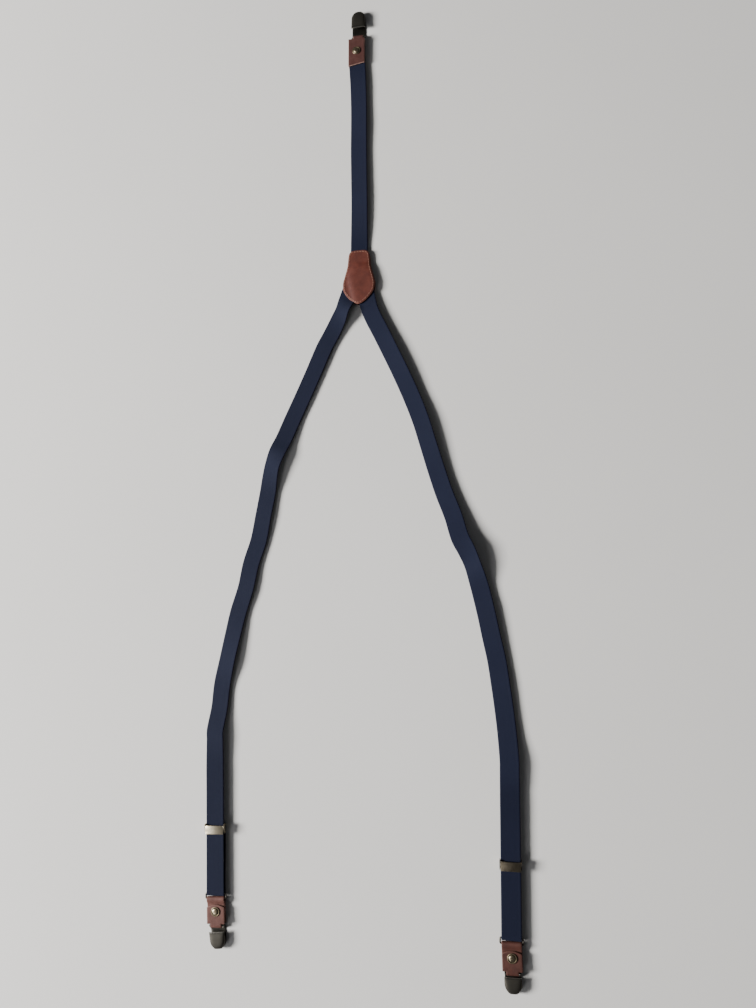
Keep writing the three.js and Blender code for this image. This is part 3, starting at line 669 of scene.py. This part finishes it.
def drape_grid():
    """Heights under the front leather: stiff leather laid over the straps, easing down beside them."""
    columns, rows = np.arange(-24, 24.1, DRAPE_STEP), np.arange(-160, -80, DRAPE_STEP)
    gx, gy = np.meshgrid(columns, rows)
    under = support_height(np.stack([gx.ravel(), gy.ravel()], 1)).reshape(gx.shape)
    over = under.copy()
    padded = np.pad(under, DRAPE_REACH, mode="edge")
    for i in range(2 * DRAPE_REACH + 1):
        for k in range(2 * DRAPE_REACH + 1):
            away = ((i - DRAPE_REACH) ** 2 + (k - DRAPE_REACH) ** 2) * DRAPE_STEP ** 2
            shifted = padded[i:i + under.shape[0], k:k + under.shape[1]]
            over = np.maximum(over, shifted - DRAPE_STIFFNESS * away)
    for _ in range(DRAPE_EASING):
        edge = np.pad(over, 1, mode="edge")
        over = (edge[1:-1, :-2] + edge[1:-1, 2:] + edge[:-2, 1:-1] + edge[2:, 1:-1] + over) / 5
    return columns, rows, np.maximum(over, under)


drape_columns, drape_rows, drape = drape_grid()


def draped_height(x, y):
    """Underside of the front leather at any place, read between the points of the drape's grid."""
    cx = np.clip((np.asarray(x) - drape_columns[0]) / DRAPE_STEP, 0, len(drape_columns) - 1.001)
    ry = np.clip((np.asarray(y) - drape_rows[0]) / DRAPE_STEP, 0, len(drape_rows) - 1.001)
    c, r = cx.astype(int), ry.astype(int)
    fx, fy = cx - c, ry - r
    upper = drape[r, c] * (1 - fx) + drape[r, c + 1] * fx
    lower = drape[r + 1, c] * (1 - fx) + drape[r + 1, c + 1] * fx
    return upper * (1 - fy) + lower * fy + DRAPE_GAP


def patch():
    thickness = LEATHER["thickness"]

    def lay_front(x, y, n):
        base = draped_height(x, y) + thickness / 2
        return route_place.world(np.stack([x, y, base + n], 1))

    def lay_back(x, y, n):
        return route_place.world(np.stack([x, y, n + thickness / 2], 1))

    for node, lay in (("patch_front", lay_front), ("patch_back", lay_back)):
        piece = leather_piece(node + "_leather", patch_outline(), thickness, lay, patch_leather, "straps")
        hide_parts(node)
    seam = patch_outline(PATCH_SEAM["inset"])
    seam = np.r_[seam, seam[:1]]
    along = np.r_[0, np.cumsum(np.linalg.norm(np.diff(seam, axis=0), axis=1))]
    count = int(along[-1] / PATCH_SEAM["pitch"])
    pitch = along[-1] / count
    stitches = []
    for i in range(count):
        s = i * pitch + np.linspace(0, PATCH_SEAM["stitch"] * pitch / PATCH_SEAM["pitch"], 7)
        x, y = np.interp(s, along, seam[:, 0]), np.interp(s, along, seam[:, 1])
        rise = 0.30 * np.sin(np.linspace(0, math.pi, 7)) ** 0.5 - 0.22
        z = draped_height(x, y) + thickness + rise
        stitches.append(np.stack([x, y, z], 1))
    thread = stitch_row("patch_seam_thread", route_place, stitches, PATCH_SEAM["radius"], seam_thread)
    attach(thread, "straps")
    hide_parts("patch_stitching")


def stitch_row(name, place, stitches, radius, material, sides=8):
    """Stitches as short bent capsules of thread."""
    vertices, faces = [], []
    for points in stitches:
        centre = place.world(points)
        tangent = unit(np.gradient(centre, axis=0))
        side = unit(np.cross(tangent, np.array([0, 0, 1.0])))
        normal = np.cross(side, tangent)
        first = len(vertices)
        swell = np.sqrt(np.clip(1 - np.linspace(-1, 1, len(points)) ** 6, 0.05, 1))
        for c, a, b, r in zip(centre, side, normal, swell * radius * MM):
            for k in range(sides):
                angle = 2 * math.pi * k / sides
                vertices.append(c + a * r * math.cos(angle) + b * r * math.sin(angle))
        faces += grid_faces(len(points), sides, closed_columns=True, offset=first)
        faces.append(tuple(range(first, first + sides)))
        last = first + (len(points) - 1) * sides
        faces.append(tuple(range(last, last + sides)))
    obj = add_object(name, vertices, faces, material)
    return obj


def folded_band(middle, place):
    """The middle line of a folded band and the function that bends flat leather along it."""
    line = np.array(middle, float)
    along = np.r_[0, np.cumsum(np.linalg.norm(np.diff(line, axis=0), axis=1))]
    fine = np.arange(0, along[-1], 0.2)
    rows = np.stack([np.interp(fine, along, line[:, k]) for k in range(2)], 1)
    kernel = np.ones(7) / 7
    eased = np.stack([np.convolve(np.pad(rows[:, k], 3, mode="edge"), kernel, "valid") for k in range(2)], 1)
    eased[:3], eased[-3:] = rows[:3], rows[-3:]
    slope = unit(np.gradient(eased, axis=0))

    def bend(u, s, n):
        y, z, ty, tz = [np.interp(s, fine, v) for v in (*eased.T, *slope.T)]
        return place.world(np.stack([u, y - n * tz, z + n * ty], 1))

    return eased, fine, bend


def front_tab(side):
    """One band: hidden end, round the ring, down the back, round the clip's bar, up to the flap."""
    place = tab_place(side)
    bar = -np.linalg.norm(np.array(joints[side + "_tab_swing"]["pos_m"][:2])
                          - np.array(joints[side + "_clip_swing"]["pos_m"][:2])) / MM
    step = LEATHER["thickness"] + CLEARANCE
    low, mid, top = BAR_HEIGHT - step, BAR_HEIGHT, BAR_HEIGHT + step
    middle = [
        (-TAB["inner_end"], mid), (-9.2, mid), (-5.3, mid), (-3.9, mid + 0.45), (-2.4, mid + 1.35),
        *arc(0, mid, FOLD["ring"], 105, -90, 18), (-6, low), (-16, low),
        *arc(bar, mid, FOLD["clip"], 270, 90, 18), (-17.6, top + 0.1), (-12.2, top), (-TAB["flap_end"], top),
    ]
    eased, fine, bend = folded_band(middle, place)
    narrow = fine[eased[:, 0] < bar + TAB["shoulder"]]
    half, neck, end = LEATHER["width"] / 2, TAB["neck"] / 2, fine[-1]
    radius = (half ** 2 + TAB["flap_sag"] ** 2) / (2 * TAB["flap_sag"])
    flap = [(x, end - radius + math.sqrt(radius ** 2 - x * x)) for x in np.linspace(half, -half, 25)]
    right = [(half, 0), (half, narrow[0]), (neck, narrow[0]), (neck, narrow[-1]), (half, narrow[-1])]
    left = [(-x, s) for x, s in reversed(right)]
    piece = leather_piece(side + "_tab_leather", right + flap + left, LEATHER["thickness"], bend,
                          TAB_LEATHER[side], side + "_tab", grid=1.0)
    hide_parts(side + "_tab")


def back_tab():
    """Leather folded round the back clip's bar, with the webbing's end between its two layers."""
    low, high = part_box("back_tab")
    bar_y = joints["back_clip_swing"]["pos_m"][1]
    place = Place(((low.x + high.x) / 2, bar_y), (0, 1))
    far = (bar_y - low.y) / MM
    step = WEBBING["thickness"] / 2 + CLEARANCE + LEATHER["thickness"] / 2
    fold, mid, tuck = FOLD["clip"], BAR_HEIGHT, BACK_TAB["webbing_end"]
    middle = [
        (-far, mid + step), (-tuck, mid + step), (-4, mid + fold - 0.2), *arc(0, mid, fold, 90, -90, 18),
        (-4, mid - fold + 0.2), (-tuck, mid - step), (-far, mid - step),
    ]
    eased, fine, bend = folded_band(middle, place)
    narrow = fine[eased[:, 0] > -TAB["shoulder"]]
    half, neck, shift = LEATHER["width"] / 2, TAB["neck"] / 2, BACK_TAB["neck_offset"]
    end, slant = fine[-1], BACK_TAB["slant"]
    outline = [
        (-half, 0), (half, slant), (half, narrow[0]), (shift + neck, narrow[0]),
        (shift + neck, narrow[-1]), (half, narrow[-1]), (half, end - slant), (-half, end),
        (-half, narrow[-1]), (shift - neck, narrow[-1]), (shift - neck, narrow[0]), (-half, narrow[0]),
    ]
    piece = leather_piece("back_tab_leather", outline, LEATHER["thickness"], bend, TAB_LEATHER["back"],
                          "straps", grid=1.0)
    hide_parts("back_tab")


# ---------- metal ----------
def rivet(prefix, body):
    """Cap with a rolled rim, a groove darkened by painted shade with some patina, and a bright dome, on its
    post.
    """
    low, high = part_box(prefix + "_rivet_cap")
    centre = ((low.x + high.x) / 2, (low.y + high.y) / 2)
    base = high.z / MM - RIVET["height"]
    r, h = RIVET["radius"], RIVET["height"]
    profile = [
        (0, low.z / MM - base), (RIVET["post"], low.z / MM - base), (RIVET["post"], 0), (r - 0.15, 0),
        (r, 0.15), (r, 0.32), (r - 0.12, 0.5), (r - 0.4, 0.62), (r - 0.75, 0.62), (r - 1.05, 0.48),
        (r - 1.18, 0.30), (r - 1.3, 0.26), (r - 1.42, 0.38), (r - 1.52, 0.66), (r - 1.75, 0.92),
        (r - 2.3, h - 0.32), (r - 3.0, h - 0.14), (r - 3.9, h - 0.03), (0, h),
    ]
    # Darkness in the rim's groove: painted shade, with some patina.
    groove = [0, 0, 0, 0.4, 0.5, 0.6, 0.6, 0.55, 0.7, 0.9, 1, 1, 1, 0.75, 0.35, 0.1, 0, 0, 0]
    sides = 48
    vertices, patina_and_shade = [], []
    for (radius, z), dark in zip(profile, groove):
        for k in range(sides):
            angle = 2 * math.pi * k / sides
            vertices.append((centre[0] + radius * MM * math.cos(angle),
                             centre[1] + radius * MM * math.sin(angle), (base + z) * MM))
            patina_and_shade.append(dark)
    faces = grid_faces(len(profile), sides, closed_columns=True)
    obj = add_object(prefix + "_rivet_dome", vertices, faces, brass, attributes={"patina_and_shade": patina_and_shade},
                     sharp=60)
    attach(obj, body)
    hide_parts(prefix + "_rivet_cap")


def ring(side):
    """Rectangular wire ring with rounded corners."""
    place = strap_place(side)
    far = np.array(joints[side + "_tab_swing"]["pos_m"])
    spacing = float((place.origin - far) @ place.along) / MM
    half = WEBBING["width"] / 2 + 0.4 + RING_WIRE
    corner = 1.3
    path = []
    for x, y, start in ((half, 0, 0), (-half, 0, 90), (-half, -spacing, 180), (half, -spacing, 270)):
        cx, cy = x - math.copysign(corner, x), y + (corner if y < 0 else -corner)
        for angle in np.radians(np.linspace(start, start + 90, 7)):
            path.append((cx + corner * math.cos(angle), cy + corner * math.sin(angle)))
    path = outline_step(path, 1.5)
    ahead = unit(np.roll(path, -1, axis=0) - np.roll(path, 1, axis=0))
    outward = np.stack([ahead[:, 1], -ahead[:, 0]], 1)
    sides = 14
    vertices = []
    for p, o in zip(path, outward):
        for k in range(sides):
            angle = 2 * math.pi * k / sides
            flat = p + o * RING_WIRE * math.cos(angle)
            vertices.append((flat[0], flat[1], BAR_HEIGHT + RING_WIRE * math.sin(angle)))
    faces = grid_faces(len(path), sides, closed_columns=True)
    last = (len(path) - 1) * sides
    faces += [(last + k, last + (k + 1) % sides, (k + 1) % sides, k) for k in range(sides)]
    obj = add_object(side + "_wire_ring", place.world(vertices), faces, gunmetal)
    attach(obj, side + "_ring")
    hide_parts(side + "_ring")


def cover(prefix):
    """The clip's lever: a pressed cover, domed and open below, with the cam that grips on the pad."""
    place = clip_place(prefix)
    pin = np.array(joints[prefix + "_lever_flip"]["pos_m"])
    pin_y, pin_z = float((pin - place.origin) @ place.along) / MM, pin[2] / MM
    front, rear = -COVER["nose"], COVER_LENGTH[prefix] - COVER["nose"]
    half, wall = COVER["width"] / 2, COVER["wall"]
    taper = 1 - np.cos(np.linspace(0, math.pi / 2, 25)[1:])
    swell = (1 - (1 - taper) ** 2.1) ** (1 / 2.1)
    right = [(half * w, front + t * COVER["taper"]) for w, t in zip(swell, taper)]
    right += [(half, y) for y in np.linspace(front + COVER["taper"], rear, 9)[1:]]
    outline = np.array([(-x, y) for x, y in reversed(right)] + [(0, front)] + right)
    hub = front + 0.8 * COVER["taper"]
    spine = np.stack([np.zeros(len(outline)), np.maximum(outline[:, 1], hub)], 1)
    line_y = np.array([front, 0, 1.5, rear * 0.3, rear * 0.6, rear * 0.85, rear - 1.3, rear])
    line_top = np.array([2.0, 2.3, 2.5, 2.6, 2.5, 2.12, 2.05, 2.6])
    skirt_y = np.array([front, 2.5, rear * 0.5, rear * 0.85, rear])
    skirt_z = np.array([-1.1, -1.3, -0.9, 0.6, 1.0])

    def shell(inset):
        reach = np.linalg.norm(outline - spine, axis=1, keepdims=True)
        shrunk = spine + (outline - spine) * np.maximum(reach - inset, 0.2) / reach
        rows = []
        for rho in (1, 0.998, 0.985, 0.95, 0.88, 0.76, 0.6, 0.4, 0.2, 0):
            spot = spine + (shrunk - spine) * rho
            y = spot[:, 1]
            top = np.interp(y, line_y, line_top) - inset
            skirt = np.interp(outline[:, 1], skirt_y, skirt_z)
            rise = (1 - rho ** 4) ** 0.25
            rows.append(np.stack([spot[:, 0], y + pin_y, pin_z + skirt + (top - skirt) * rise], 1))
        return np.concatenate(rows)

    columns, layers = len(outline), 10
    vertices = np.r_[shell(0), shell(wall)]
    inner = columns * layers
    faces = grid_faces(layers, columns) + grid_faces(layers, columns, offset=inner)
    faces += [(c, c + 1, inner + c + 1, inner + c) for c in range(columns - 1)]
    for k in range(layers - 1):
        for c in (0, columns - 1):
            a, b = k * columns + c, (k + 1) * columns + c
            faces.append((a, b, inner + b, inner + a))
    y = vertices[:, 1] - pin_y
    # Painted shade: the cover's inside is darkened fully, and its outside half as much everywhere but the
    # rear lip, which so reads as lit.
    inside_shade = np.r_[np.zeros(inner), np.ones(inner)]
    edge_tint = np.where(y > rear - 1.4, 0.0, 0.5)
    patina_and_shade = np.maximum(inside_shade * (y < rear - 0.4), edge_tint)
    reach = pin_z - (PAD_TOP + CLEARANCE)
    cam = [(-1.1, 0.9), (-1.3, -0.4), (-1.1, -1.4), (-0.6, -reach + 0.25), (0, -reach),
           (0.7, -reach + 0.15), (1.5, -1.7), (1.8, -0.4), (1.5, 1.6)]
    start = len(vertices)
    for x in (-CAM_HALF, CAM_HALF):
        vertices = np.r_[vertices, [(x, y + pin_y, z + pin_z) for y, z in cam]]
    count = len(cam)
    faces.append(tuple(range(start, start + count)))
    faces.append(tuple(range(start + count, start + 2 * count)))
    for k in range(count):
        n = (k + 1) % count
        faces.append((start + k, start + n, start + count + n, start + count + k))
    # Painted shade on the cam, which sits under the cover.
    patina_and_shade = np.r_[patina_and_shade, np.full(2 * count, 0.8)]
    # Painted highlight: the rear lip is mixed towards a pale colour, as if it caught the light.
    painted_highlight = np.r_[np.clip((y - rear + 0.7) / 0.4, 0, 1) * 0.9, np.zeros(2 * count)]
    obj = add_object(prefix + "_lever_cover", place.world(vertices), faces, gunmetal,
                     attributes={"patina_and_shade": patina_and_shade, "painted_highlight": painted_highlight}, sharp=50)
    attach(obj, prefix + "_lever")
    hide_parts(prefix + "_lever")


def refined(node, width, material):
    """The CAD piece's own shape with its edges softened, which stands for the node."""
    source = frame["nodes"][node]
    mesh = bpy.data.meshes.new(node + "_edges")
    work = bmesh.new()
    work.from_mesh(source.data)
    bmesh.ops.remove_doubles(work, verts=work.verts, dist=2e-6)
    bmesh.ops.dissolve_limit(work, angle_limit=math.radians(1), verts=work.verts, edges=work.edges)
    hard = [e for e in work.edges if len(e.link_faces) == 2 and e.calc_face_angle(0) > math.radians(38)]
    bmesh.ops.bevel(work, geom=hard, offset=width * MM, segments=2, profile=0.5, affect="EDGES",
                    clamp_overlap=True)
    bmesh.ops.recalc_face_normals(work, faces=work.faces)
    for face in work.faces:
        face.smooth = True
    work.to_mesh(mesh)
    work.free()
    mesh.set_sharp_from_angle(angle=math.radians(42))
    mesh.materials.clear()
    mesh.materials.append(material)
    obj = bpy.data.objects.new(node + "_edged", mesh)
    bpy.context.scene.collection.objects.link(obj)
    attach(obj, source["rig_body"])
    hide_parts(node)


# ---------- camera, light and floor ----------
CAMERA_PLACE = (0.18232, -0.49429, 0.81094)  # metres, from the routes' origin
CAMERA_TURN = (7.576, 11.214)                # degrees about x and y
CAMERA_LENS = 27.04
FLOOR_REACH = 6.0                            # metres from the middle to each side
FLOOR_HEIGHT = -0.0001

low, high = cad_box
centre = (Vector(low) + Vector(high)) / 2
camera = bpy.data.objects.new("camera", bpy.data.cameras.new("camera"))
camera.data.lens = CAMERA_LENS
camera.data.clip_end = 20
camera.location = Vector(route_origin) + Vector(CAMERA_PLACE)
camera.rotation_euler = Euler((math.radians(CAMERA_TURN[0]), math.radians(CAMERA_TURN[1]), 0))
bpy.context.scene.collection.objects.link(camera)
bpy.context.scene.camera = camera


def softbox(name, offset, size, power, colour):
    light = bpy.data.lights.new(name, "AREA")
    light.shape = "SQUARE"
    light.size = size
    light.energy = power
    light.color = colour
    obj = bpy.data.objects.new(name, light)
    obj.location = centre + Vector(offset)
    obj.rotation_euler = (-Vector(offset)).to_track_quat("-Z", "Y").to_euler()
    bpy.context.scene.collection.objects.link(obj)


softbox("window", (-3.7, -0.35, 1.95), 1.2, 560, (1.0, 0.985, 0.96))
softbox("ceiling", (-1.3, -1.7, 1.4), 1.0, 11, (0.98, 0.98, 1.0))
world = bpy.data.worlds.new("room")
world.use_nodes = True
world.node_tree.nodes["Background"].inputs["Color"].default_value = (0.78, 0.80, 0.84, 1)
world.node_tree.nodes["Background"].inputs["Strength"].default_value = 0.07
bpy.context.scene.world = world

floor_mesh = bpy.data.meshes.new("floor")
floor_corners = [(-1, -1), (1, -1), (1, 1), (-1, 1)]
floor_mesh.from_pydata(
    [(x * FLOOR_REACH, y * FLOOR_REACH, FLOOR_HEIGHT) for x, y in floor_corners], [], [(0, 1, 2, 3)])
floor_mesh.materials.append(floor_material())
floor = bpy.data.objects.new("floor", floor_mesh)
bpy.context.scene.collection.objects.link(floor)

# ---------- assembly ----------
patch()
back_centre, back_side = rolled(BACK_ROUTE)
back_webbing, back_length = ribbon("back_webbing", back_centre, back_side, webbing_navy)
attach(back_webbing, "straps")
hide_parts("back_strap")
back_tab()
rivet("back", "straps")
for side, route in (("left", LEFT_ROUTE), ("right", RIGHT_ROUTE)):
    strap, strap_length = front_strap(side, route)
    tail, tail_length = return_run(side)
    front_tab(side)
    rivet(side, side + "_tab")
    ring(side)
    refined(side + "_adjuster_frame", 0.15, ADJUSTER_LIT_AND_SHADED[side])
    refined(side + "_adjuster_lever", 0.16, ADJUSTER_LIT_AND_SHADED[side])
    refined(side + "_adjuster_pin", 0.12, ADJUSTER_LIT_AND_SHADED[side])
for prefix in ("back",) + SIDES:
    cover(prefix)
    refined(prefix + "_clip_base", 0.16, gunmetal)
    refined(prefix + "_hinge_pin", 0.12, gunmetal)
    refined(prefix + "_jaw_pad", 0.06, jaw_plastic)
    refined(prefix + "_rivet_back", 0.1, brass)
